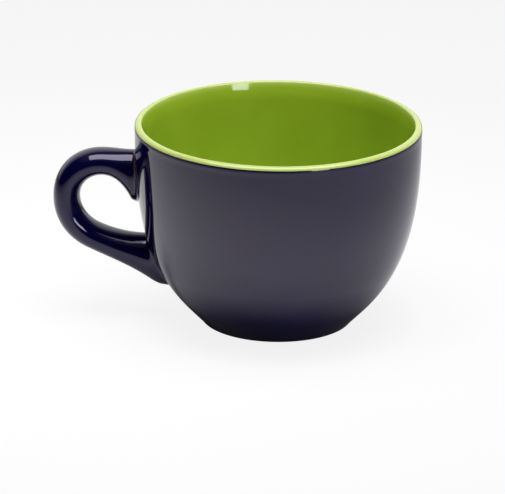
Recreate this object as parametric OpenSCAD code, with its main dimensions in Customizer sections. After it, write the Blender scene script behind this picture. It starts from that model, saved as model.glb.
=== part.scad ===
// Soup mug in glazed stoneware, drawn as it is put together: a round-bellied cup with a foot
// ring, a looped handle stuck to it with two pads of slip, and the coats of glaze over them.
// It stands on z = 0 around the z axis, and the handle points along -x.
// Sizes are of the finished mug, over its glaze.

/* [Cup] */
// Diameter over the lip
rim_d = 125; // [112:0.5:140]
// Height from the table to the top of the lip
height = 89.6; // [82:0.2:105]
// How far the lip stands out past the wall below it
lip_bead = 0.2; // [0:0.1:1]
// Depth below the top of the lip at which the wall begins to swell into the lip
bead_drop = 5.4; // [3:0.1:8]
// Length of the pull that keeps the wall upright below the lip
wall_pull = 36.5; // [20:0.5:48]
// Length of the pull that opens the belly above the foot
belly_pull = 31.5; // [18:0.5:40]
// Slope of the belly where it leaves the foot, in degrees from level
belly_slope = 38; // [28:0.5:50]

/* [Walls] */
// Thickness of the lip
lip_t = 4.2; // [3.2:0.1:5]
// Distance of the lip's top in from its outside
lip_crown = 2.2; // [1.4:0.1:2.6]
// Height of the rounding on the outside of the lip
lip_round_out = 2.6; // [1.3:0.1:2.9]
// Radius of the rounding at the top of the lip's inside
lip_round_in = 1; // [0.8:0.1:1.4]
// Slope of the lip's inside below that rounding, in degrees from upright
lip_lean = 15; // [8:0.5:25]
// Thickness of the wall just above the foot, from where it thins to the lip
wall_t = 5; // [3.8:0.1:7]
// Thickness of the floor over the recess in the foot
floor_t = 5.2; // [3.5:0.1:8]
// Height over which the floor curves up into the wall
floor_rise = 4; // [2:0.5:8]

/* [Foot] */
// Outside diameter of the foot
foot_d = 65.2; // [56:0.2:76]
// Height of the foot's upright side
foot_h = 1.2; // [0.8:0.1:3]
// Width of the foot ring
foot_w = 4.5; // [3:0.1:8]
// Depth of the recess inside the foot ring
recess_h = 2.4; // [1.5:0.1:4]
// Rounding in the corner of the recess
recess_round = 1.2; // [0.5:0.1:1.5]
// Rounding of the foot ring's edges, where the dry ring shows and the glaze stops
foot_edge = 0.5; // [0.2:0.05:0.7]

/* [Handle] */
// How far the handle stands out past the rim
handle_reach = 35.8; // [28:0.1:45]
// Thickness of the handle, seen from its side
handle_thick = 11.7; // [9:0.1:13]
// Width of the handle, seen from its end
handle_wide = 17; // [11:0.1:20]
// Depth of the handle's highest point below the top of the lip
handle_drop = 14.1; // [7:0.1:15]
// Distance of the handle's highest point out from the rim
crest_out = 14; // [11:0.1:17]
// Depth of the handle's farthest point below its highest point
turn_drop = 21.8; // [18:0.1:26]
// Distance of the handle's lower run out from the rim
low_out = 18.2; // [14:0.1:21]
// Depth of the lower run's middle below the handle's highest point
low_drop = 40; // [37:0.1:43]
// Slope of the lower run, in degrees
low_slope = 24.5; // [15:0.5:35]
// Fullness of the handle's outer bends, of which 1 is an arc
bend_full = 1.06; // [0.9:0.01:1.15]
// Height of the finger gap at the wall
finger_gap = 27; // [25:0.1:31]

/* [Roots] */
// Depth of the upper root's top below the handle's highest point
upper_root_drop = 0.4; // [0:0.1:3]
// Height of the upper root
upper_root_h = 23.2; // [18:0.1:25]
// Slope of the flare under the upper root, in degrees
upper_flare = 66; // [30:1:70]
// Height of the lower root
lower_root_h = 23.4; // [18:0.1:25]
// Slope of the flare under the lower root, in degrees
lower_flare = 38; // [26:1:55]
// How much wider the handle is at its roots
root_flare = 1.5; // [0:0.1:4]
// Straight length of the roots at their upper edges, before the flare begins
root_stub = 2.1; // [1:0.1:3]
// Straight length of the upper root at its bottom edge
upper_tip_stub = 3; // [1:0.1:4]
// Straight length of the lower root at its bottom edge
tip_stub = 6.4; // [3:0.1:8]

/* [Coats] */
// Thickness of the glaze
glaze_t = 0.35; // [0.2:0.05:0.6]
// How far the liner glaze comes down the outside of the lip
lip_band = 1.4; // [0.8:0.1:2.8]
// Thickness of the slip between the handle and the cup
slip_t = 0.6; // [0.6:0.05:1.2]

/* [Hidden] */

// Colours
clay_colour = [0.86, 0.81, 0.72];
slip_colour = [0.74, 0.66, 0.55];
navy_colour = [0.10, 0.09, 0.24];
green_colour = [0.47, 0.58, 0.13];

// Smoothness
$fn = 96;
belly_steps = 28;
curve_steps = 8;
lip_steps = 8;
span_steps = 8;
ring_sides = 28;

// The cup's derived sizes
rim_r = rim_d / 2;
wall_r = rim_r - lip_bead;
foot_r = foot_d / 2;
foot_in_r = foot_r - foot_w;
bead_z = height - bead_drop;
round_z = height - lip_round_out;
band_z = height - lip_band;
floor_z = recess_h + floor_t;
thin_t = lip_t - lip_bead;

// Directions and cubic curves
function unit(v) = v / norm(v);
function heading(a) = [cos(a), sin(a)];
function left_of(d) = [-d.y, d.x];
function rest(list) = [for (i = [1 : len(list) - 1]) list[i]];
function last(list) = list[len(list) - 1];
function reversed(list) = [for (i = [len(list) - 1 : -1 : 0]) list[i]];
function curve(P, t) =
    P[0] * pow(1 - t, 3) + P[1] * 3 * t * pow(1 - t, 2) + P[2] * 3 * t * t * (1 - t) + P[3] * pow(t, 3);
function curve_way(P, t) =
    unit((P[1] - P[0]) * pow(1 - t, 2) + (P[2] - P[1]) * 2 * t * (1 - t) + (P[3] - P[2]) * t * t);

// A skin is a run of the cup's outline in half section, anticlockwise, as pairs of a finished
// point and the direction into the clay there
function curve_skin(P, n) = [for (i = [0 : n]) [curve(P, i / n), left_of(curve_way(P, i / n))]];
function arc_skin(c, r, a0, a1, n) =
    let (into = a1 > a0 ? -1 : 1)
    [for (i = [0 : n]) let (e = heading(a0 + (a1 - a0) * i / n)) [c + r * e, into * e]];
function oval_skin(c, wide, tall, a0, a1, n) = [
    for (i = [0 : n])
        let (e = heading(a0 + (a1 - a0) * i / n))
        [c + [wide * e.x, tall * e.y], -unit([tall * e.x, wide * e.y])]
];
function skin_at(skin, z) =
    let (
        way = [for (k = [0, 1]) lookup(z, [for (q = skin) [q[0].y, q[1][k]]])],
        r = lookup(z, [for (q = skin) [q[0].y, q[0].x]])
    )
    [[r, z], unit(way)];
function at_depth(skin, k) = [for (q = skin) q[0] + k * q[1]];

// Outside of the cup, from the foot to the edge of the liner glaze on the rounding of the lip
foot_top = [foot_r, foot_h];
belly = [
    foot_top,
    foot_top + belly_pull * heading(belly_slope),
    [wall_r, bead_z - wall_pull],
    [wall_r, bead_z]
];
bead_mid = (bead_z + round_z) / 2;
bead = [[wall_r, bead_z], [wall_r, bead_mid], [rim_r, bead_mid], [rim_r, round_z]];
crown_r = rim_r - lip_crown;
lip_side = concat(
    rest(curve_skin(bead, curve_steps)),
    rest(oval_skin([crown_r, round_z], lip_crown, lip_round_out, 0, 90, lip_steps))
);
glaze_edge = skin_at(lip_side, band_z);
foot_side = [[[foot_r, foot_edge], [-1, 0]], [foot_top, [-1, 0]]];
outside = concat(
    foot_side,
    rest(curve_skin(belly, belly_steps)),
    [for (q = lip_side) if (q[0].y < band_z - 0.05) q],
    [glaze_edge]
);

// Inside of the cup, from the edge of the liner glaze over the lip to the middle of the floor
lip_in_c = [crown_r, height - lip_round_in];
lean_top = lip_in_c + lip_round_in * heading(180 - lip_lean);
lean_wide = lean_top.x - (rim_r - lip_t);
lean_corner = lean_top - [lean_wide, lean_wide / tan(lip_lean)];
lean_end = lean_corner - [0, lean_wide / sin(lip_lean)];
lean_curve = [
    lean_top,
    (lean_top + lean_corner * 2) / 3,
    (lean_end + lean_corner * 2) / 3,
    lean_end
];
lip = concat(
    [glaze_edge],
    [for (q = lip_side) if (q[0].y > band_z + 0.05) q],
    rest(arc_skin(lip_in_c, lip_round_in, 90, 180 - lip_lean, lip_steps)),
    rest(curve_skin(lean_curve, curve_steps))
);
inner_wall = [
    for (i = [belly_steps : -1 : 0])
        let (
            t = i / belly_steps,
            into = left_of(curve_way(belly, t)),
            p = curve(belly, t) + into * (wall_t + (thin_t - wall_t) * t)
        )
        if (p.y > floor_z + floor_rise && p.y < lean_end.y - 0.2) [p, -into]
];
wall_end = last(inner_wall)[0];
wall_end_way = [last(inner_wall)[1].y, -last(inner_wall)[1].x];
floor_corner = wall_end + wall_end_way * (wall_end.y - floor_z) / -wall_end_way.y;
floor_edge = floor_corner - [norm(floor_corner - wall_end), 0];
floor_curve = [
    wall_end,
    (wall_end + floor_corner * 2) / 3,
    (floor_edge + floor_corner * 2) / 3,
    floor_edge
];
inside = concat(lip, inner_wall, rest(curve_skin(floor_curve, curve_steps)), [[[0, floor_z], [0, -1]]]);

// Underside, from the middle of the recess to the dry edge of the foot ring
recess_c = [foot_in_r - recess_round, recess_h - recess_round];
underside = concat(
    [[[0, recess_h], [0, 1]]],
    arc_skin(recess_c, recess_round, 90, 0, lip_steps),
    [[[foot_in_r, foot_edge], [1, 0]]]
);

// The dry ring that the mug stands on
ring_in_c = [foot_in_r + glaze_t + foot_edge, foot_edge];
ring_out_c = [foot_r - glaze_t - foot_edge, foot_edge];
dry_ring = concat(
    arc_skin(ring_in_c, foot_edge, 180, 270, lip_steps),
    arc_skin(ring_out_c, foot_edge, 270, 360, lip_steps)
);

module coat(skin) {
    rotate_extrude()
        polygon(concat(at_depth(skin, 0), reversed(at_depth(skin, glaze_t))));
}

// Everything within the outside of the cup at a depth below the finished surface
module cup_filled(k) {
    rotate_extrude()
        polygon(concat(at_depth(outside, k), [[0, band_z], [0, foot_edge]]));
}

// The handle's outline in its own plane, as distance out from the axis and height: each
// station has an outer and an inner point with the headings of the two edges there
wall_table = [for (q = outside) [q[0].y, q[0].x]];
function wall_at(z) = lookup(z, wall_table);
function station(c, a) =
    let (half = heading(a + 90) * handle_thick / 2)
    [c + half, c - half, a, a];
crest_z = height - handle_drop;
upper_top_z = crest_z - upper_root_drop;
upper_tip_z = upper_top_z - upper_root_h;
lower_top_z = crest_z - handle_thick - finger_gap;
lower_tip_z = lower_top_z - lower_root_h;
stations = [
    [
        [wall_at(upper_top_z) + root_stub, upper_top_z],
        [wall_at(upper_tip_z) + upper_tip_stub, upper_tip_z],
        0,
        upper_flare
    ],
    station([rim_r + crest_out, crest_z - handle_thick / 2], 0),
    station([rim_r + handle_reach - handle_thick / 2, crest_z - turn_drop], -90),
    station([rim_r + low_out, crest_z - low_drop], low_slope - 180),
    [
        [wall_at(lower_tip_z) + tip_stub, lower_tip_z],
        [wall_at(lower_top_z) + root_stub, lower_top_z],
        lower_flare - 180,
        -180
    ]
];
spans = len(stations) - 1;

// The pull that makes a cubic curve between two headings run like an arc
function arc_pull(turn) = abs(turn) < 0.1 ? 1 / 3 : 2 / 3 * tan(turn / 4) / sin(turn / 2);
function edge_curve(p0, a0, p1, a1, full = 1) =
    let (pull = arc_pull(a1 - a0) * norm(p1 - p0) * full)
    [p0, p0 + pull * heading(a0), p1 - pull * heading(a1), p1];

// A section of the handle: its outer point, its inner point and its width
function section(j, t) =
    let (
        a = stations[j],
        b = stations[j + 1],
        near_root = j == 0 ? 1 - t : j == spans - 1 ? t : 0
    )
    [
        curve(edge_curve(a[0], a[2], b[0], b[2], bend_full), t),
        curve(edge_curve(a[1], a[3], b[1], b[3]), t),
        handle_wide + root_flare * pow(near_root, 2)
    ];
function slid_in(s, d) = [s[0] - [d, 0], s[1] - [d, 0], s[2]];
root_bite = 3;
upper_face = section(0, 0);
lower_face = section(spans - 1, 1);
upper_sunk = slid_in(upper_face, root_stub + root_bite);
lower_sunk = slid_in(lower_face, tip_stub + root_bite);
sections = concat(
    [upper_sunk],
    [for (j = [0 : spans - 1], i = [0 : span_steps - 1]) section(j, i / span_steps)],
    [lower_face, lower_sunk]
);

// An oval ring of points around a section at a depth below the finished surface
function oval(s, k) =
    let (
        middle = (s[0] + s[1]) / 2,
        half = (s[0] - s[1]) / 2,
        tall = half - unit(half) * k,
        wide = s[2] / 2 - k
    )
    [
        for (i = [0 : ring_sides - 1])
            let (a = 360 * i / ring_sides, p = middle + tall * cos(a))
            [-p.x, wide * sin(a), p.y]
    ];
function flat_list(lists) = [for (l = lists) each l];

// Triangles of the band between ring a and ring b, in a list of rings of ring_sides points
function band(a, b) =
    flat_list([
        for (i = [0 : ring_sides - 1])
            let (
                n = (i + 1) % ring_sides,
                p = a * ring_sides,
                q = b * ring_sides
            )
            [[p + i, q + i, q + n], [p + i, q + n, p + n]]
    ]);

// A solid through the sections at a depth below the finished surface
module loft(list, k) {
    count = len(list);
    start_cap = [for (i = [0 : ring_sides - 1]) i];
    end_cap = [for (i = [ring_sides - 1 : -1 : 0]) (count - 1) * ring_sides + i];
    polyhedron(
        points = flat_list([for (s = list) oval(s, k)]),
        faces = concat(flat_list([for (r = [0 : count - 2]) band(r, r + 1)]), [start_cap, end_cap])
    );
}

// A tube of glaze thickness over the sections
module sleeve(list) {
    count = len(list);
    rings = concat([for (s = list) oval(s, 0)], [for (s = reversed(list)) oval(s, glaze_t)]);
    total = 2 * count;
    polyhedron(
        points = flat_list(rings),
        faces = flat_list([for (r = [0 : total - 1]) band(r, (r + 1) % total)])
    );
}

// A pad of slip between the clay of the cup and the root of the handle
module slip_pad(root) {
    intersection() {
        loft(root, glaze_t);
        difference() {
            cup_filled(glaze_t - slip_t);
            cup_filled(glaze_t);
        }
    }
}

module cup_body() {
    color(clay_colour)
        rotate_extrude()
            polygon(concat(
                at_depth(underside, glaze_t),
                rest(at_depth(dry_ring, 0)),
                rest(at_depth(outside, glaze_t)),
                rest(at_depth(inside, glaze_t))
            ));
}

module handle() {
    color(clay_colour)
        difference() {
            loft(sections, glaze_t);
            cup_filled(glaze_t - slip_t);
        }
}

module upper_luting_slip() {
    color(slip_colour)
        slip_pad([upper_sunk, upper_face]);
}

module lower_luting_slip() {
    color(slip_colour)
        slip_pad([lower_face, lower_sunk]);
}

module outer_glaze() {
    color(navy_colour)
        difference() {
            coat(outside);
            loft([upper_sunk, upper_face], glaze_t);
            loft([lower_face, lower_sunk], glaze_t);
        }
}

module handle_glaze() {
    color(navy_colour)
        difference() {
            sleeve(sections);
            cup_filled(0);
        }
}

module liner_glaze() {
    color(green_colour)
        coat(inside);
}

module base_glaze() {
    color(navy_colour)
        coat(underside);
}

cup_body();
handle();
upper_luting_slip();
lower_luting_slip();
outer_glaze();
handle_glaze();
liner_glaze();
base_glaze();
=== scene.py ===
import math
import bmesh
import bpy
from mathutils import Euler, Matrix, Vector
from mathutils.geometry import interpolate_bezier


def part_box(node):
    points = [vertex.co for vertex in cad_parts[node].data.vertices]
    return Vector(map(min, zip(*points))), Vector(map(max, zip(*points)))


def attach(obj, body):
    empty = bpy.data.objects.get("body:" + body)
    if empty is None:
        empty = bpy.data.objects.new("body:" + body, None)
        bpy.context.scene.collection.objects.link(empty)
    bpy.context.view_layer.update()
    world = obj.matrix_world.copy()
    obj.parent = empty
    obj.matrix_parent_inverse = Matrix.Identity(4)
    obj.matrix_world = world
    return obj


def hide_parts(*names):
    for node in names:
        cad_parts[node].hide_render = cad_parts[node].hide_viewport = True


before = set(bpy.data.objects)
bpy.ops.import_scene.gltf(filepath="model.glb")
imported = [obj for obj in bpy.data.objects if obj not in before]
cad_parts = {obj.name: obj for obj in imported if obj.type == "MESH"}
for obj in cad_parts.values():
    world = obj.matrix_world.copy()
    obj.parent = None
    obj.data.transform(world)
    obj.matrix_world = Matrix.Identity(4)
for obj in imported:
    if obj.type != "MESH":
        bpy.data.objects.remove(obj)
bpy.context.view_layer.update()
mm = 0.001
scene = bpy.context.scene
scene.view_settings.view_transform = "Standard"

# what the frame fixes, in mm
linerLow, linerHigh = (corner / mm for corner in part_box("liner_glaze"))
coatLow, coatHigh = (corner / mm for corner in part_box("outer_glaze"))
baseLow, baseHigh = (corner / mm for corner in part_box("base_glaze"))
loopLow, loopHigh = (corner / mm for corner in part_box("handle_glaze"))
print("frame loaded:", len(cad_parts), "nodes")


# drawing helpers: an outline lies in the x-z plane, x being the distance from the axis

def at(r, z):
    return Vector((r, 0.0, z))


def heading(degrees):
    return at(math.cos(math.radians(degrees)), math.sin(math.radians(degrees)))


def ovalArc(centre, wide, tall, start, end, count=8):
    turns = [math.radians(start + (end - start) * i / count) for i in range(count + 1)]
    return [centre + at(wide * math.cos(t), tall * math.sin(t)) for t in turns]


def arc(centre, radius, start, end, count=8):
    return ovalArc(centre, radius, radius, start, end, count)


def bend(points, count):
    return interpolate_bezier(*points, count)


def cornerBend(start, corner, end):                      # a corner between two lines, eased
    return bend([start, start.lerp(corner, 0.667), end.lerp(corner, 0.667), end], 14)


def beneath(line, depth):        # the same line, moved to its left by depth
    moved = []
    for i, p in enumerate(line):
        way = (line[min(i + 1, len(line) - 1)] - line[max(i - 1, 0)]).normalized()
        moved.append(p + depth * at(-way.z, way.x))
    return moved


def turned(outline, steps=192):  # an outline turned round the z axis, as on the wheel
    bm = bmesh.new()
    dots = [bm.verts.new(p) for p in outline]
    edges = [bm.edges.new(pair) for pair in zip(dots, dots[1:])]
    bmesh.ops.spin(bm, geom=dots + edges, cent=(0, 0, 0), axis=(0, 0, 1),
                   angle=math.tau, steps=steps, use_merge=True)
    bmesh.ops.remove_doubles(bm, verts=bm.verts, dist=0.002)
    bmesh.ops.recalc_face_normals(bm, faces=bm.faces)
    return bm


def makePiece(name, bm, material, slot, *nodes):
    bmesh.ops.scale(bm, vec=(mm, mm, mm), verts=bm.verts)
    mesh = bpy.data.meshes.new(name)
    bm.to_mesh(mesh)
    bm.free()
    mesh.polygons.foreach_set("use_smooth", [True] * len(mesh.polygons))
    mesh.materials.append(material)
    piece = bpy.data.objects.new(name, mesh)
    scene.collection.objects.link(piece)
    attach(piece, "root")
    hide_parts(*nodes)
    print("piece", name, len(mesh.polygons), "faces")
    return piece


def thicken(piece):              # gives a coat of glaze its thickness, inwards
    shell = piece.modifiers.new("glazeThickness", "SOLIDIFY")
    shell.thickness = cup["glaze"] * mm
    shell.offset = -1.0


# material helpers

def newMaterial(name):
    material = bpy.data.materials.new(name)
    material.use_nodes = True
    tree = material.node_tree
    return material, tree, tree.nodes["Principled BSDF"]


def addNode(tree, kind, **values):
    node = tree.nodes.new(kind)
    for key, value in values.items():
        if key in node.inputs:
            node.inputs[key].default_value = value
        else:
            setattr(node, key, value)
    return node


def addNoise(tree, size, detail=2.0, roughness=0.5):     # size of one blotch in mm
    coord = addNode(tree, "ShaderNodeTexCoord")
    noise = addNode(tree, "ShaderNodeTexNoise", Scale=1 / (size * mm), Detail=detail,
                    Roughness=roughness)
    tree.links.new(coord.outputs["Object"], noise.inputs["Vector"])
    return noise.outputs["Fac"]


def spread(tree, source, low, high, start=0.3, end=0.7):  # noise brought to a range of values
    node = tree.nodes.new("ShaderNodeMapRange")
    for socket, value in zip(("From Min", "From Max", "To Min", "To Max"), (start, end, low, high)):
        node.inputs[socket].default_value = value
    tree.links.new(source, node.inputs["Value"])
    return node.outputs["Result"]


def mixColour(tree, factor, first, second):
    node = addNode(tree, "ShaderNodeMix", data_type="RGBA")
    for socket, colour in ((node.inputs[6], first), (node.inputs[7], second)):
        if isinstance(colour, tuple):
            socket.default_value = (*colour, 1.0)
        else:
            tree.links.new(colour, socket)
    tree.links.new(factor, node.inputs[0])
    return node.outputs[2]


def addBump(tree, shader, layers):                       # layers of (height, depth in mm, strength)
    normal = None
    for height, depth, strength in layers:
        bump = addNode(tree, "ShaderNodeBump", Strength=strength, Distance=depth * mm)
        tree.links.new(height, bump.inputs["Height"])
        if normal:
            tree.links.new(normal, bump.inputs["Normal"])
        normal = bump.outputs["Normal"]
    tree.links.new(normal, shader.inputs["Normal"])


# both glazes: a clear glossy skin with soft clouds of colour, paler or browner where it runs thin
def glazeMaterial(name, deep, light, thin, cloud, gloss, ior, shine=0.5, tint=(1.0, 1.0, 1.0)):
    material, tree, shader = newMaterial(name)
    clouds = spread(tree, addNoise(tree, cloud, 3.0), 0.0, 1.0)
    fine = addNoise(tree, 1.3, 1.0)
    waves = addNoise(tree, 14.0, 1.0)
    edge = addNode(tree, "ShaderNodeAttribute", attribute_name="thin")
    colour = mixColour(tree, clouds, deep, light)
    colour = mixColour(tree, edge.outputs["Fac"], colour, thin)
    tree.links.new(colour, shader.inputs["Base Color"])
    tree.links.new(spread(tree, addNoise(tree, 6.0), *gloss), shader.inputs["Roughness"])
    shader.inputs["IOR"].default_value = ior
    shader.inputs["Specular IOR Level"].default_value = shine
    shader.inputs["Specular Tint"].default_value = (*tint, 1.0)
    addBump(tree, shader, [(waves, 0.02, 0.12), (fine, 0.004, 0.1)])
    return material


navyGlaze = glazeMaterial("navyGlaze", deep=(0.003, 0.001, 0.024), light=(0.004, 0.002, 0.034),
                          thin=(0.09, 0.06, 0.05), cloud=18.0, gloss=(0.035, 0.06), ior=1.65,
                          tint=(0.98, 0.93, 1.0))
# painted shade: the handle's blue is the cup's made darker and a little duller, a shaded copy for
# the dimmer light round the handle
shadedHandleNavy = glazeMaterial("shadedHandleNavy", deep=(0.001, 0.0005, 0.019), light=(0.002, 0.001, 0.028),
                           thin=(0.09, 0.06, 0.05), cloud=12.0, gloss=(0.05, 0.08), ior=1.65,
                           shine=0.39, tint=(0.84, 0.78, 1.0))
greenGlaze = glazeMaterial("greenGlaze", deep=(0.28, 0.415, 0.022), light=(0.31, 0.455, 0.028),
                           thin=(0.47, 0.565, 0.155), cloud=22.0, gloss=(0.06, 0.09), ior=1.55)


# unglazed clay: pale, dry, with grog specks
def clayMaterial(name, base, pale, speck):
    material, tree, shader = newMaterial(name)
    ground = spread(tree, addNoise(tree, 5.0, 4.0), 0.0, 1.0)
    grains = addNoise(tree, 0.7, 2.0)
    colour = mixColour(tree, ground, base, pale)
    colour = mixColour(tree, spread(tree, grains, 0.0, 0.7, 0.66, 0.74), colour, speck)
    tree.links.new(colour, shader.inputs["Base Color"])
    tree.links.new(spread(tree, ground, 0.75, 0.9), shader.inputs["Roughness"])
    addBump(tree, shader, [(grains, 0.05, 0.3)])
    return material


stoneware = clayMaterial("stoneware", (0.62, 0.53, 0.40), (0.74, 0.66, 0.54), (0.28, 0.2, 0.13))
lutingSlip = clayMaterial("lutingSlip", (0.50, 0.40, 0.29), (0.60, 0.50, 0.38), (0.25, 0.18, 0.12))
print("materials ready")

# the cup's outline, in mm over the glaze
cup = {
    "rimR": coatHigh.y, "height": linerHigh.z, "bandZ": coatHigh.z,
    "glaze": 0.35, "bead": 0.12, "beadDrop": 5.4,         # the lip stands out past the wall by bead
    "wallPull": 36.5, "bellyPull": 31.5, "bellySlope": 38.0,
    "lipThick": 4.2, "lipCrown": 2.2, "lipRoundOut": 1.85, "lipRoundIn": 1.0, "lipLean": 15.0,
    "wallLow": 5.0, "wallHigh": 4.0, "floorRise": 4.0,    # the wall thins from the foot to the lip
    "footR": 32.6, "footTop": 1.2, "footEdge": 0.5,
    "recessRound": 1.2,
}
cup["wallR"] = cup["rimR"] - cup["bead"]
cup["floorZ"] = linerLow.z + cup["glaze"]
cup["recessZ"] = baseHigh.z - cup["glaze"]
cup["footInR"] = baseHigh.x - cup["glaze"]

beadZ = cup["height"] - cup["beadDrop"]
roundZ = cup["height"] - cup["lipRoundOut"]
beadMid = (beadZ + roundZ) / 2
footTop = at(cup["footR"], cup["footTop"])
bellyPoints = [footTop, footTop + cup["bellyPull"] * heading(cup["bellySlope"]),
               at(cup["wallR"], beadZ - cup["wallPull"]), at(cup["wallR"], beadZ)]
belly = bend(bellyPoints, 49)
bead = bend([at(cup["wallR"], beadZ), at(cup["wallR"], beadMid),
             at(cup["rimR"], beadMid), at(cup["rimR"], roundZ)], 28)

# the lip is a quarter oval outside, where the blue stops,
# and a small round inside that eases into the wall
crownR = cup["rimR"] - cup["lipCrown"]
bandTurn = math.degrees(math.asin((cup["bandZ"] - roundZ) / cup["lipRoundOut"]))


def lipOutside(start, end, count):
    return ovalArc(at(crownR, roundZ), cup["lipCrown"], cup["lipRoundOut"], start, end, count)


leanTurn = math.radians(cup["lipLean"])
lipInside = arc(at(crownR, cup["height"] - cup["lipRoundIn"]), cup["lipRoundIn"],
                90, 180 - cup["lipLean"], 10)
leanTop = lipInside[-1]
leanWide = leanTop.x - (cup["rimR"] - cup["lipThick"])
leanCorner = leanTop - at(leanWide, leanWide / math.tan(leanTurn))
leanEnd = leanCorner - at(0, leanWide / math.sin(leanTurn))
leanBend = cornerBend(leanTop, leanCorner, leanEnd)
lip = lipOutside(bandTurn, 90, 12) + lipInside[1:] + leanBend[1:]

# the inside follows the belly at the wall's thickness, then rounds into the flat floor
thickLine, slimLine = beneath(belly, cup["wallLow"]), beneath(belly, cup["wallHigh"])
wallLine = [p.lerp(q, i / (len(belly) - 1)) for i, (p, q) in enumerate(zip(thickLine, slimLine))]
floorStart = cup["floorZ"] + cup["floorRise"]
innerWall = [p for p in reversed(wallLine) if floorStart < p.z < leanEnd.z - 0.2]
downWay = (innerWall[-1] - innerWall[-2]).normalized()
corner = innerWall[-1] + downWay * (innerWall[-1].z - cup["floorZ"]) / -downWay.z
floorEdge = corner - at((corner - innerWall[-1]).length, 0)
floorBend = cornerBend(innerWall[-1], corner, floorEdge)
inside = lip + innerWall + floorBend[1:] + [at(0, cup["floorZ"])]

recessC = at(cup["footInR"] - cup["recessRound"], cup["recessZ"] - cup["recessRound"])
underside = [at(0, cup["recessZ"])] + arc(recessC, cup["recessRound"], 90, 0)
underside.append(at(cup["footInR"], cup["footEdge"]))
dryIn = at(cup["footInR"] + cup["glaze"] + cup["footEdge"], cup["footEdge"])
dryOut = at(cup["footR"] - cup["glaze"] - cup["footEdge"], cup["footEdge"])
dryRing = arc(dryIn, cup["footEdge"], 180, 270) + arc(dryOut, cup["footEdge"], 270, 360)


# the clay of the cup, bare only on the ring that it stands on
def buildCupClay():
    outside = [footTop] + belly[1:] + bead[1:] + lipOutside(0, bandTurn, 6)[1:-1]
    outline = beneath(underside, cup["glaze"]) + dryRing[1:] + beneath(outside, cup["glaze"])
    outline += beneath(inside, cup["glaze"])
    outline[0].x = outline[-1].x = 0.0
    return makePiece("cupClay", turned(outline), stoneware, "stoneware", "cup_body")


# the handle's outline in its own plane, from root to root, in mm
handle = {
    "reach": -loopLow.x, "thick": 11.7, "wide": 17.0, "crestZ": loopHigh.z,
    "crestX": 76.5, "turnDrop": 21.8, "lowX": 80.7, "lowDrop": 40.0, "lowSlope": 24.5,
    "bendFull": 1.06, "rootFlare": 1.5, "stub": 2.1, "upperTipStub": 3.0, "tipStub": 6.4,
    "upperRoot": (75.1, 51.9), "upperFlare": 66.0,        # top and tip of each root on the wall
    "lowerRoot": (36.8, 13.4), "lowerFlare": 38.0,
    "filletTop": 0.9, "filletSide": 2.6,
    "seamUpper": 0.45, "seamLower": 0.3,                  # how thin the glaze runs in each seam
    "sides": 56, "spanRings": 16,
}


def wallAt(z):                   # radius of the outside at a height
    for a, b in zip(belly, belly[1:]):
        if a.z <= z <= b.z:
            return a.x + (b.x - a.x) * (z - a.z) / (b.z - a.z)
    return cup["wallR"]


def onWall(y, z, lift):          # a point of the handle's side of the cup, lifted off it along -x
    return Vector((-math.sqrt(wallAt(z) ** 2 - y ** 2) - lift, y, z))


def station(x, z, way):
    half = handle["thick"] / 2 * heading(way + 90)
    return at(x, z) + half, at(x, z) - half, way, way


def rootStation(top, tip, topStub, tipStub, topWay, tipWay):
    return at(wallAt(top) + topStub, top), at(wallAt(tip) + tipStub, tip), topWay, tipWay


def edgeBend(p, pWay, q, qWay, count, full=1.0):         # a cubic that runs like an arc
    turn = math.radians(qWay - pWay)
    pull = 1 / 3 if abs(turn) < 0.01 else 2 / 3 * math.tan(turn / 4) / math.sin(turn / 2)
    reach = full * pull * (q - p).length
    return bend([p, p + reach * heading(pWay), q - reach * heading(qWay), q], count)


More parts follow.
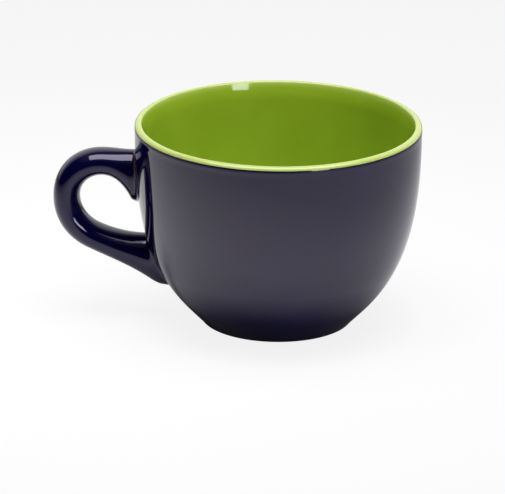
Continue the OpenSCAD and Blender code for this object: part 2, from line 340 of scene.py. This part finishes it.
# the handle: its coat of glaze with a fillet round each root, and the clay under the coat
def buildHandle():
    upTop, upTip = handle["upperRoot"]
    lowTop, lowTip = handle["lowerRoot"]
    crestZ, half = handle["crestZ"], handle["thick"] / 2
    lowEnd = rootStation(lowTip, lowTop, handle["tipStub"], handle["stub"],
                         handle["lowerFlare"] - 180, -180)
    stations = [
        rootStation(upTop, upTip, handle["stub"], handle["upperTipStub"], 0, handle["upperFlare"]),
        station(handle["crestX"], crestZ - half, 0),
        station(handle["reach"] - half, crestZ - handle["turnDrop"], -90),
        station(handle["lowX"], crestZ - handle["lowDrop"], handle["lowSlope"] - 180),
        lowEnd,
    ]

    # each ring is a function of the angle round the handle, 0 being on its outer edge
    def ovalRing(outer, inner, wide):
        middle, tall = (outer + inner) / 2, (outer - inner) / 2

        def place(a):
            p = middle + tall * math.cos(a)
            return Vector((-p.x, wide / 2 * math.sin(a), p.z))
        return place

    def rootRing(outerZ, innerZ, grow, lift):            # grow and lift are shares of the fillet
        middle, tall = (outerZ + innerZ) / 2, (outerZ - innerZ) / 2
        wide = (handle["wide"] + handle["rootFlare"]) / 2
        more = handle["filletSide"] - handle["filletTop"]

        def place(a):
            f = handle["filletTop"] + more * math.sin(a) ** 2
            y = (wide + f * grow) * math.sin(a)
            z = middle + (tall + math.copysign(f * grow, tall)) * math.cos(a)
            return onWall(y, z, f * lift)
        return place

    def rootRings(outerZ, innerZ):                       # from inside the wall out along the fillet
        rings = [rootRing(outerZ, innerZ, 1.15, -0.15)]
        for turn in (0, 15, 30, 45, 60, 75, 90):
            t = math.radians(turn)
            rings.append(rootRing(outerZ, innerZ, 1 - math.sin(t), 1 - math.cos(t)))
        return rings

    rings = rootRings(upTop, upTip)
    count = handle["spanRings"]
    for j, (a, b) in enumerate(zip(stations, stations[1:])):
        outerLine = edgeBend(a[0], a[2], b[0], b[2], count + 1, handle["bendFull"])
        innerLine = edgeBend(a[1], a[3], b[1], b[3], count + 1)
        for i in range(count + (b is lowEnd)):
            nearRoot = 1 - i / count if j == 0 else i / count if b is lowEnd else 0
            wide = handle["wide"] + handle["rootFlare"] * nearRoot ** 2
            rings.append(ovalRing(outerLine[i], innerLine[i], wide))
    rings += reversed(rootRings(lowTip, lowTop))

    bm = bmesh.new()
    angle = bm.verts.layers.float.new("angle")
    thin = bm.verts.layers.float.new("thin")
    ring = bmesh.ops.create_circle(bm, segments=handle["sides"], radius=1.0)["verts"]
    edges = bm.edges[:]
    for v in ring:
        v[angle] = math.atan2(v.co.y, v.co.x)
        v.co = rings[0](v[angle])
    loops = [ring]
    for place in rings[1:]:
        grown = bmesh.ops.extrude_edge_only(bm, edges=edges)["geom"]
        ring = [g for g in grown if isinstance(g, bmesh.types.BMVert)]
        edges = [e for e in grown
                 if isinstance(e, bmesh.types.BMEdge) and all(v in ring for v in e.verts)]
        for v in ring:
            v.co = place(v[angle])
        loops.append(ring)

    # ease the corner where each root's straight stub meets the flare, and mark the thin seam
    for part in (loops[5:16], loops[-16:-5]):
        soft = [v for ring in part for v in ring]
        for _ in range(3):
            bmesh.ops.smooth_vert(bm, verts=soft, factor=0.5,
                                  use_axis_x=True, use_axis_y=True, use_axis_z=True)
    for part, most in ((loops[:5], handle["seamUpper"]), (loops[-5:], handle["seamLower"])):
        for ring in part:
            for v in ring:
                v[thin] = most * min(1.0, max(0.0, 0.6 + math.cos(v[angle])))
    bmesh.ops.recalc_face_normals(bm, faces=bm.faces)
    bm.verts.index_update()
    bm.normal_update()
    inWall = {v.index for ring in loops[:4] + loops[-4:] for v in ring}
    clay = bm.copy()
    for v in clay.verts:         # a hair deeper than the coat
        v.co -= 1.03 * cup["glaze"] * v.normal
    bmesh.ops.delete(clay, geom=[v for v in clay.verts if v.index in inWall], context="VERTS")
    bmesh.ops.holes_fill(clay, edges=[e for e in clay.edges if e.is_boundary], sides=0)
    bmesh.ops.recalc_face_normals(clay, faces=clay.faces)
    makePiece("handleClay", clay, stoneware, "stoneware", "handle")
    # the handle's coat wears the shaded copy of the blue glaze, which is painted shade
    piece = makePiece("handleGlaze", bm, shadedHandleNavy, "navy_glaze", "handle_glaze")
    thicken(piece)
    return piece


# the blue coat of the cup, open where the handle's roots sit
coat = {
    "footRoll": 0.6, "footLift": 0.72, "rollEnd": -35.0,  # the glaze gathers over the foot
    "riseAt": 8, "rollPull": 2.0, "risePull": 6.0,        # and runs from it into the belly
    "lipStep": 0.12, "stepDrop": 1.25, "stepTall": 1.1,   # it thins out just under the green edge
    "lipUnder": 6.0, "rootShare": 0.85,
}


def buildOuterGlaze():
    roll = arc(at(cup["footR"], coat["footLift"]), coat["footRoll"], -80, coat["rollEnd"])
    tuck = [at(cup["footR"] - coat["footRoll"], cup["glaze"])]
    i = coat["riseAt"]
    riseWay = (belly[i + 1] - belly[i - 1]).normalized()
    rise = bend([roll[-1], roll[-1] + coat["rollPull"] * heading(90 + coat["rollEnd"]),
                 belly[i] - coat["risePull"] * riseWay, belly[i]], 16)
    rim = bead + lipOutside(0, bandTurn + coat["lipUnder"], 8)[1:]
    low = beneath(rim, coat["lipStep"])
    edge = []
    for p, q in zip(rim, low):
        s = min(1.0, max(0.0, (p.z - cup["bandZ"] + coat["stepDrop"]) / coat["stepTall"]))
        edge.append(p.lerp(q, s * s * (3 - 2 * s)))
    bm = turned(tuck + roll + rise[1:] + belly[i + 1:] + edge[1:])
    hidden = []
    for face in bm.faces:
        p = face.calc_center_median()
        for top, tip in (handle["upperRoot"], handle["lowerRoot"]):
            high = (p.z - (top + tip) / 2) / ((top - tip) / 2)
            wide = p.y / (handle["wide"] / 2)
            if p.x < 0 and math.hypot(high, wide) < coat["rootShare"]:
                hidden.append(face)
    bmesh.ops.delete(bm, geom=hidden, context="FACES")
    piece = makePiece("outerGlaze", bm, navyGlaze, "navy_glaze", "outer_glaze")
    thicken(piece)
    return piece


# the green coat inside the cup and over the lip, with a rounded edge against the blue
liner = {"edgeRound": 0.22, "edgeTurn": 6.0, "thinDepth": 3.0}


def buildLinerGlaze():
    r = liner["edgeRound"]
    top = lipOutside(bandTurn + liner["edgeTurn"], 90, 12)
    out = heading(math.degrees(math.atan2(top[1].z - top[0].z, top[1].x - top[0].x)) - 90)
    outTurn = math.degrees(math.atan2(out.z, out.x))
    edge = arc(top[0] - r * out, r, outTurn - 110, outTurn)
    skin = edge[:-1] + top + inside[len(top):]
    bm = turned(list(reversed(beneath(inside, cup["glaze"])))[1:] + skin)
    thin = bm.verts.layers.float.new("thin")
    for v in bm.verts:           # the glaze runs thin over the lip
        onLip = math.hypot(v.co.x, v.co.y) > cup["rimR"] - cup["lipThick"] / 2
        depth = (cup["height"] - v.co.z) / liner["thinDepth"]
        v[thin] = 1.0 if onLip and depth < 1 else max(0.0, 1 - depth) ** 1.5
    return makePiece("linerGlaze", bm, greenGlaze, "green_glaze", "liner_glaze")


# the blue coat in the recess under the foot
def buildBaseGlaze():
    outline = underside + list(reversed(beneath(underside, cup["glaze"])))
    outline[-1].x = 0.0
    return makePiece("baseGlaze", turned(outline), navyGlaze, "navy_glaze", "base_glaze")


buildCupClay()
buildOuterGlaze()
buildLinerGlaze()
buildBaseGlaze()
buildHandle()
for node in ("upper_luting_slip", "lower_luting_slip"):
    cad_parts[node].data.materials.clear()
    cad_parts[node].data.materials.append(lutingSlip)
print("pieces ready")

# the camera stands where the photograph was taken, the mug a little above and right of its centre
photo = {"width": 505, "height": 494, "aimPixel": (276.82, 221.08)}
camera = {
    "aimZ": 44.0, "distance": 2000.0, "pixelsPerMm": 2.288,
    "azimuth": 3.4, "elevation": 19.25, "roll": 0.636,
}


def buildCamera():
    data = bpy.data.cameras.new("camera")
    eye = bpy.data.objects.new("camera", data)
    scene.collection.objects.link(eye)
    scene.camera = eye
    focal = camera["pixelsPerMm"] * camera["distance"]   # in pixels
    data.lens = focal * data.sensor_width / photo["width"]
    data.clip_start = 0.1
    data.clip_end = 50.0
    right = photo["aimPixel"][0] - photo["width"] / 2
    up = photo["height"] / 2 - photo["aimPixel"][1]
    roll = Matrix.Rotation(math.radians(camera["roll"]), 4, "Z")
    offset = roll.inverted() @ Vector((right, up, 0))
    glance = Euler((-math.atan(offset.y / focal), math.atan(offset.x / focal), 0))
    aside = glance.to_matrix().to_4x4()
    tilt = Matrix.Rotation(math.radians(90 - camera["elevation"]), 4, "X")
    above = math.radians(camera["elevation"])
    back = Vector((0, -math.cos(above), math.sin(above)))
    place = Vector((0, 0, camera["aimZ"])) + camera["distance"] * back
    turn = Matrix.Rotation(math.radians(camera["azimuth"]), 4, "Z")
    eye.matrix_world = turn @ Matrix.Translation(place * mm) @ tilt @ aside @ roll


# soft studio light: a box overhead, a window in front to the right, a pale room behind,
# and a floor with a painted pool of light on the handle's side and painted shade close to the foot
studio = {
    "softBox": {"azimuth": 8, "elevation": 84.7, "distance": 0.65,
                "size": (0.70, 0.40), "watts": 5.2},
    "window": {"azimuth": 33, "elevation": 16, "distance": 2.4,
               "size": (0.60, 1.05), "watts": 16.0},
    "front": 0.01, "behind": 1.0, "top": 0.15,            # how bright the room is on each side
    "floorSize": 8.0, "floorWhite": 0.86,
    # painted light in the floor's colour: a paler pool on the handle's side, and painted shade
    # round the foot
    "paintedLightPool": {"at": (-0.11, 0.04, 0.0), "start": 0.11, "end": 0.33, "near": 0.9, "far": 0.58},
    "under": {"at": (0.0, 0.0, 0.0), "start": 0.038, "end": 0.064, "near": 0.42, "far": 1.0},
}


def buildBox(name):
    spec = studio[name]
    data = bpy.data.lights.new(name, "AREA")
    data.shape = "RECTANGLE"
    data.size, data.size_y = spec["size"]
    data.energy = spec["watts"]
    a, e = math.radians(spec["azimuth"] + camera["azimuth"]), math.radians(spec["elevation"])
    out = Vector((math.sin(a) * math.cos(e), -math.cos(a) * math.cos(e), math.sin(e)))
    box = bpy.data.objects.new(name, data)
    box.location = out * spec["distance"]
    if spec["elevation"] < 60:       # a box overhead hangs level
        box.rotation_euler = out.to_track_quat("Z", "Y").to_euler()
    scene.collection.objects.link(box)


def grey(value):
    return (value, value, value)


def buildRoom():
    world = bpy.data.worlds.new("room")
    scene.world = world
    world.use_nodes = True
    tree = world.node_tree
    background = tree.nodes["Background"]
    coord = addNode(tree, "ShaderNodeTexCoord")
    way = addNode(tree, "ShaderNodeSeparateXYZ")
    tree.links.new(coord.outputs["Generated"], way.inputs[0])
    backward = spread(tree, way.outputs["Y"], 0.0, 1.0, 0.3, 0.7)
    upward = spread(tree, way.outputs["Z"], 0.0, 1.0, 0.7, 0.85)
    colour = mixColour(tree, backward, grey(studio["front"]), grey(studio["behind"]))
    colour = mixColour(tree, upward, colour, grey(studio["top"]))
    ray = addNode(tree, "ShaderNodeLightPath")
    colour = mixColour(tree, ray.outputs["Is Camera Ray"], colour, grey(1.0))
    tree.links.new(colour, background.inputs["Color"])


# the floor is lit and keeps the shadow, only paler as the camera sees it
def buildFloor():
    bm = bmesh.new()
    bmesh.ops.create_grid(bm, x_segments=1, y_segments=1, size=studio["floorSize"] / 2)
    mesh = bpy.data.meshes.new("floor")
    bm.to_mesh(mesh)
    bm.free()
    material, tree, shader = newMaterial("paleFloor")
    coord = addNode(tree, "ShaderNodeTexCoord")
    tone = addNode(tree, "ShaderNodeMath", operation="MULTIPLY")
    # the floor's colour is painted light: a pool of light on the handle's side times a painted
    # shadow round the foot
    for i, name in enumerate(("paintedLightPool", "under")):
        spec = studio[name]
        away = addNode(tree, "ShaderNodeVectorMath", operation="DISTANCE")
        away.inputs[1].default_value = spec["at"]
        tree.links.new(coord.outputs["Object"], away.inputs[0])
        shade = spread(tree, away.outputs["Value"],
                       spec["near"], spec["far"], spec["start"], spec["end"])
        tree.links.new(shade, tone.inputs[i])
    tree.links.new(tone.outputs[0], shader.inputs["Base Color"])
    shader.inputs["Roughness"].default_value = 0.9
    shader.inputs["Specular IOR Level"].default_value = 0.0
    white = addNode(tree, "ShaderNodeEmission", Strength=1.0)
    ray = addNode(tree, "ShaderNodeLightPath")
    share = addNode(tree, "ShaderNodeMath", operation="MULTIPLY")
    share.inputs[1].default_value = studio["floorWhite"]
    blend = addNode(tree, "ShaderNodeMixShader")
    tree.links.new(ray.outputs["Is Camera Ray"], share.inputs[0])
    tree.links.new(share.outputs[0], blend.inputs[0])
    tree.links.new(shader.outputs[0], blend.inputs[1])
    tree.links.new(white.outputs[0], blend.inputs[2])
    tree.links.new(blend.outputs[0], tree.nodes["Material Output"].inputs["Surface"])
    mesh.materials.append(material)
    floor = bpy.data.objects.new("floor", mesh)
    scene.collection.objects.link(floor)


def buildStudio():
    buildBox("softBox")
    buildBox("window")
    buildRoom()
    buildFloor()


buildCamera()
buildStudio()
print("camera and light ready")
